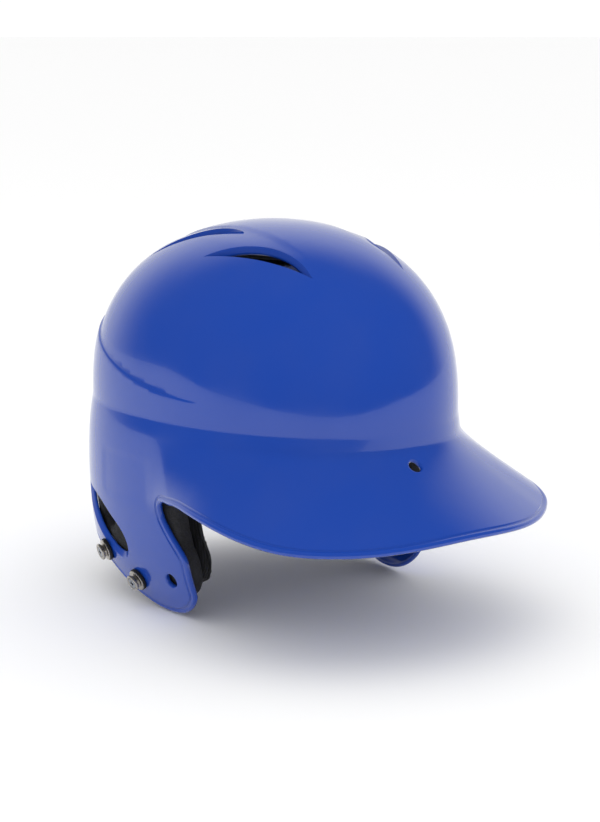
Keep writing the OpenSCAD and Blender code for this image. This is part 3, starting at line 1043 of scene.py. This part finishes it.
@dataclass
class Pad:
    """One pad of two layers: a firm foam core on the shell, and a covered soft layer towards the head."""

    node: str
    outline: np.ndarray
    hole: np.ndarray | None = None
    soft_node: str = ""
    soft_thickness: float = 7.0
    core_out: float = -3.8
    core_in: float = -14.4
    side_round: float = 2.4
    inset: float = 3.0
    form: HeadForm = field(default_factory=lambda: HeadForm(brim=False))

    def pillow(
        self, name: str, rim: np.ndarray, holes: list[np.ndarray], high: float, low: float, edge: float, spacing: float
    ) -> bpy.types.Object:
        """A closed form between two offsets of the skin, with rounded sides.

        Args:
            name: The object's name.
            rim: Outline, as places.
            holes: Openings, as places.
            high: Offset of the face towards the shell, in millimetres.
            low: Offset of the face towards the head.
            edge: Width over which the sides round off.
            spacing: Distance between points.
        """
        places, triangles, numbers = Sheet(self.form, rim, holes, [], spacing).cut()
        p, n = self.form.points(places), self.form.normals(places)
        border = np.concatenate(numbers)
        tree = KDTree(len(border))
        for i, index in enumerate(border):
            tree.insert(p[index], i)
        tree.balance()
        gap = np.array([tree.find(v)[2] for v in p])
        full = 0.66 + 0.34 * np.sqrt(np.clip(1 - (1 - np.clip(gap / edge, 0, 1)) ** 2, 0, 1))
        crown = 0.9 + 0.1 * np.clip(gap / 28, 0, 1)
        middle, half = (high + low) / 2, (high - low) / 2
        top = p + n * (middle + half * full)[:, None]
        bottom = p + n * (middle - half * full * crown)[:, None]
        count = len(places)
        faces = [tuple(t) for t in triangles.tolist()]
        faces += [(c + count, b + count, a + count) for a, b, c in triangles.tolist()]
        for loop in numbers:
            ahead = np.roll(loop, -1)
            faces += [(int(i), int(j), int(j) + count, int(i) + count) for i, j in zip(loop, ahead)]
        return mesh_object(name, np.vstack([top, bottom]), faces)

    def on_face(self, piece: bpy.types.Object, loop: np.ndarray, offset: float, lift: float) -> np.ndarray:
        """A loop of places laid on a finished pad's face, lifted a little off it."""
        p = self.form.points(loop) + self.form.normals(loop) * offset
        out = []
        for v in p:
            found, spot, normal, _ = piece.closest_point_on_mesh(Vector(v * MM))
            out.append(np.array(spot + normal * lift * MM) / MM if found else v)
        return np.array(out)

    def core(self) -> None:
        """The firm layer, bonded to the shell."""
        form = self.form
        rim = form.resampled(self.outline, 4.0)
        holes = [] if self.hole is None else [form.resampled(self.hole, 4.0)]
        piece = self.pillow(self.node + "_core_foam", rim, holes, self.core_out, self.core_in, self.side_round, 3.6)
        smoothing = piece.modifiers.new("round", "SUBSURF")
        smoothing.levels = smoothing.render_levels = 1
        dress(piece, FOAM)
        enter(piece, "foam", self.node + "_core")

    def soft(self) -> None:
        """The covered layer: a swollen cloth form with piping and a stitched seam."""
        form = self.form
        high = self.core_in - 0.9
        low = high - self.soft_thickness + 1.6
        rim = form.resampled(form.shifted(form.resampled(self.outline, 3.5), self.inset), 3.5)
        holes = []
        if self.hole is not None:
            holes = [form.resampled(form.shifted(form.resampled(self.hole, 3.5), -3.2), 3.5)]
        name = self.soft_node.replace("_liner", "_lining").replace("_cushion", "_pad_cover")
        piece = self.pillow(name, rim, holes, high, low, 0.4 * self.soft_thickness, 3.6)
        remesh = piece.modifiers.new("remesh", "REMESH")
        remesh.mode = "VOXEL"
        remesh.voxel_size = 0.004
        applied(piece)
        inflate(piece, 1.3)
        relax = piece.modifiers.new("relax", "SMOOTH")
        relax.iterations = 3
        smoothing = piece.modifiers.new("round", "SUBSURF")
        smoothing.levels = smoothing.render_levels = 1
        applied(piece)
        piece.data.shade_smooth()
        dress(piece, LINING)
        enter(piece, "lining", self.soft_node)
        edge = self.on_face(piece, form.resampled(rim, 3.0), (high + low) / 2, 0.1)
        piping = tube(name + "_piping", edge, 0.9)
        dress(piping, LINING)
        enter(piping, "lining")
        seam = form.shifted(rim, 7.0 if self.soft_thickness > 8 else 6.0)
        laid = self.on_face(piece, form.resampled(seam, 1.6), low, 0.12)
        thread = stitches(name + "_stitches", laid)
        enter(thread, "lining")


@dataclass
class PadSet:
    """All the pads: crown, front, rear, sides and ears."""

    form: HeadForm = field(default_factory=lambda: HeadForm(brim=False))
    ear_outline: tuple[tuple[float, float], ...] = (
        (32, 107), (-5, 110), (-40, 109), (-66, 103), (-78, 86), (-80, 66), (-77, 47), (-62, 33), (-43.5, 22),
        (-25.5, 12.2), (-9, 6), (6, 4.6), (18.2, 7.4), (27.2, 14), (31.6, 25.2), (30.4, 38), (27.6, 51),
        (26.6, 62), (28.4, 73), (35.5, 81.5), (41, 93),
    )  # fmt: skip

    def patch(self, middle: float, half: float, row: float, rows: float) -> np.ndarray:
        """Outline of a pad with rounded corners, from its middle and half sizes in degrees and rows."""
        turn = np.linspace(0, 2 * np.pi, 72, endpoint=False)
        c, s = np.cos(turn), np.sin(turn)
        u = np.sign(c) * np.abs(c) ** 0.42
        v = np.sign(s) * np.abs(s) ** 0.42
        a = middle + half * u * np.sqrt(1 - 0.28 * v * v)
        q = row + rows * v * np.sqrt(1 - 0.28 * u * u)
        return counter_clockwise(self.form.polar(a, self.form.radius_of(q)))

    def ear(self, side: Side) -> tuple[np.ndarray, np.ndarray]:
        """Outline of an ear pad, and of the opening in it."""
        s = side.value
        rim = self.form.find(spline(list(self.ear_outline), 4, closed=True), (0, 2), s)
        turn = np.linspace(0, 2 * np.pi, 40, endpoint=False)
        ring = np.stack([-50 + 11 * np.cos(turn), 47.5 + 7.5 * np.sin(turn)], axis=-1)
        return counter_clockwise(rim), counter_clockwise(self.form.find(ring, (0, 2), s))

    def make(self) -> None:
        """Makes every pad."""
        a = np.linspace(0, 360, 72, endpoint=False)
        crown = self.form.polar(a, np.full_like(a, float(self.form.radius_of(np.array(0.26)))))
        pads = [
            Pad("crown_pad", crown, soft_node="crown_pad_liner"),
            Pad("front_pad", self.patch(0, 45, 0.84, 0.3), soft_node="front_pad_liner"),
            Pad("rear_pad", self.patch(180, 40, 0.98, 0.44), soft_node="rear_pad_liner"),
        ]
        for side in Side:
            outline = self.patch(side.value * 73, 24, 0.74, 0.24)
            name = f"{side.word}_side_pad"
            pads.append(Pad(name, outline, soft_node=name + "_liner", soft_thickness=4.4))
            rim, hole = self.ear(side)
            pads.append(
                Pad(f"{side.word}_ear_pad", rim, hole, f"{side.word}_ear_cushion", 12.6, side_round=1.4, inset=1.0)
            )
        for pad in pads:
            pad.core()
            pad.soft()


# ---------------------------------------------------------------- snap hardware


@dataclass
class SnapHardware:
    """The four snap studs, with their washers, screws and T-nuts."""

    places: tuple[tuple[str, float, float], ...] = (("front", 97, 97), ("rear", 112, 86))
    segments: int = 64

    stud_section: ClassVar[Section] = [
        (2.0, 1.9), (5.6, 1.9), (6.1, 2.0), (6.2, 2.25), (6.15, 2.5), (5.8, 2.72), (4.6, 2.8), (4.0, 2.9), (3.72, 3.2),
        (3.66, 3.7), (3.8, 4.1), (4.3, 4.3), (4.75, 4.55), (4.9, 5.0), (4.86, 5.4), (4.6, 5.76), (4.2, 5.9),
        (3.7, 5.9), (3.35, 5.76), (3.2, 5.5), (3.2, 4.4), (2.0, 4.4),
    ]  # fmt: skip
    washer_section: ClassVar[Section] = [
        (2.2, 0.3), (6.2, 0.3), (6.5, 0.45), (6.6, 0.8), (6.6, 1.4), (6.5, 1.75), (6.2, 1.9), (2.2, 1.9),
    ]  # fmt: skip

    def frame(self, side: Side, a: float, depth: float) -> tuple[np.ndarray, np.ndarray]:
        """Where a stud stands on the skin, and which way it points."""
        form = HeadForm()
        place = form.polar(np.array([side.value * a]), np.array([form.ring_radius() + depth]))
        return form.plain_points(place)[0], form.plain_normals(place)[0]

    def turned(self, name: str, section: Section, spot: np.ndarray, up: np.ndarray) -> bpy.types.Object:
        """A closed section turned round an axis, which starts at spot and points up."""
        turn = np.linspace(0, 2 * np.pi, self.segments, endpoint=False)
        axes = Vector(up).to_track_quat("Z", "Y").to_matrix()
        u, v = np.array(axes.col[0]), np.array(axes.col[1])
        ring = np.cos(turn)[:, None] * u + np.sin(turn)[:, None] * v
        points = np.vstack([spot + r * ring + h * up for r, h in section])
        n, m = self.segments, len(section)
        faces = [
            (k * n + i, k * n + (i + 1) % n, ((k + 1) % m) * n + (i + 1) % n, ((k + 1) % m) * n + i)
            for k in range(m)
            for i in range(n)
        ]
        piece = mesh_object(name, points, faces)
        edges = piece.modifiers.new("creases", "BEVEL")
        edges.width = 0.00008
        edges.segments = 2
        edges.limit_method = "ANGLE"
        edges.angle_limit = math.radians(50)
        applied(piece)
        return piece

    def make(self, nodes: dict[str, bpy.types.Object]) -> None:
        """Makes the turned pieces, and gives the screws and nuts their plating."""
        for side in Side:
            for word, a, depth in self.places:
                spot, up = self.frame(side, a, depth)
                stem = f"{side.word}_{word}"
                stud = self.turned(stem + "_turned_stud", self.stud_section, spot, up)
                dress(stud, NICKEL)
                enter(stud, "stud_steel", stem + "_snap_stud")
                # A near-black ring under the stud's flange, a little wider than it, so that it shows as a dark band
                # round the flange.
                washer = self.turned(stem + "_rubber_ring", self.washer_section, spot, up)
                dress(washer, DARK_RING)
                enter(washer, "washer_rubber", stem + "_washer")
                for part in ("_stud_screw", "_t_nut"):
                    for slot in nodes[stem + part].material_slots:
                        slot.material = ZINC.material()


# ---------------------------------------------------------------- studio


@dataclass
class Studio:
    """Pale floor, soft lights and the camera. The room is white, and darker on its open side in reflections."""

    azimuth: float = 53.8
    elevation: float = 11.6
    distance: float = 1.085
    lens: float = 112.5
    aim: tuple[float, float, float] = (0.0, 0.0, 0.114)
    offset: tuple[float, float] = (0.0118, -0.0080)
    open_side: tuple[float, float, float] = (0.79, -0.58, 0.2)
    daylight: float = 1.04

    def camera(self) -> None:
        """The camera, at the viewing angle."""
        a, e = math.radians(self.azimuth), math.radians(self.elevation)
        right = Vector((math.cos(a), math.sin(a), 0))
        back = Vector((math.sin(a) * math.cos(e), -math.cos(a) * math.cos(e), math.sin(e)))
        up = back.cross(right)
        spot = Vector(self.aim) + right * self.offset[0] + up * self.offset[1] + back * self.distance
        data = bpy.data.cameras.new("camera")
        data.sensor_fit = "HORIZONTAL"
        data.sensor_width = 36
        data.lens = self.lens
        camera = bpy.data.objects.new("camera", data)
        turn = Matrix((right, up, back)).transposed().to_4x4()
        camera.matrix_world = Matrix.Translation(spot) @ turn
        bpy.context.scene.collection.objects.link(camera)
        bpy.context.scene.camera = camera

    def light(self, name: str, spot: tuple[float, float, float], size: tuple[float, float], power: float) -> None:
        """A soft rectangular light that faces the helmet."""
        data = bpy.data.lights.new(name, "AREA")
        data.shape = "RECTANGLE"
        data.size, data.size_y = size
        data.energy = power
        lamp = bpy.data.objects.new(name, data)
        lamp.location = spot
        lamp.visible_glossy = False
        lamp.rotation_euler = (Vector(self.aim) - Vector(spot)).to_track_quat("-Z", "Y").to_euler()
        bpy.context.scene.collection.objects.link(lamp)

    def floor(self) -> None:
        """The floor, flat and wide."""
        reach, ahead, drop = 30000.0, 480.0, -0.4
        turn = np.linspace(0, 2 * np.pi, 96, endpoint=False)
        side = np.array(self.open_side[:2]) * (ahead - reach)
        rim = np.stack([side[0] + reach * np.cos(turn), side[1] + reach * np.sin(turn), np.full(96, drop)], axis=-1)
        piece = mesh_object("floor", rim, [tuple(range(96))], outward=False)
        dress(piece, PAPER)

    def make(self) -> None:
        """Sets up the studio."""
        self.camera()
        self.floor()
        world = bpy.data.worlds.new("studio")
        world.use_nodes = True
        tree = world.node_tree
        sky = tree.nodes["Background"]
        sky.inputs["Color"].default_value = linear("#ffffff")
        way = add(tree, "ShaderNodeTexCoord").outputs["Generated"]
        facing = add(tree, "ShaderNodeVectorMath", {0: way, 1: self.open_side}, operation="DOT_PRODUCT")
        room = ranged(tree, facing.outputs["Value"], (-0.7, -0.16), (-0.12, -0.94), "SMOOTHSTEP")
        glossy = add(tree, "ShaderNodeLightPath").outputs["Is Glossy Ray"]
        tree.links.new(maths(tree, "MULTIPLY_ADD", glossy, room, self.daylight), sky.inputs["Strength"])
        bpy.context.scene.world = world
        bpy.context.scene.view_settings.view_transform = "Standard"
        self.light("overhead", (0.3, -0.2, 2.2), (1.8, 1.8), 5)
        self.light("front", (1.9, -0.7, 1.0), (1.4, 1.6), 3)


def main() -> None:
    """Builds the helmet round its frame."""
    logging.basicConfig(level=logging.INFO, format="%(name)s: %(message)s")
    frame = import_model()
    Studio().make()
    Shell().make()
    PadSet().make()
    SnapHardware().make(frame["nodes"])


if __name__ == "__main__":
    main()
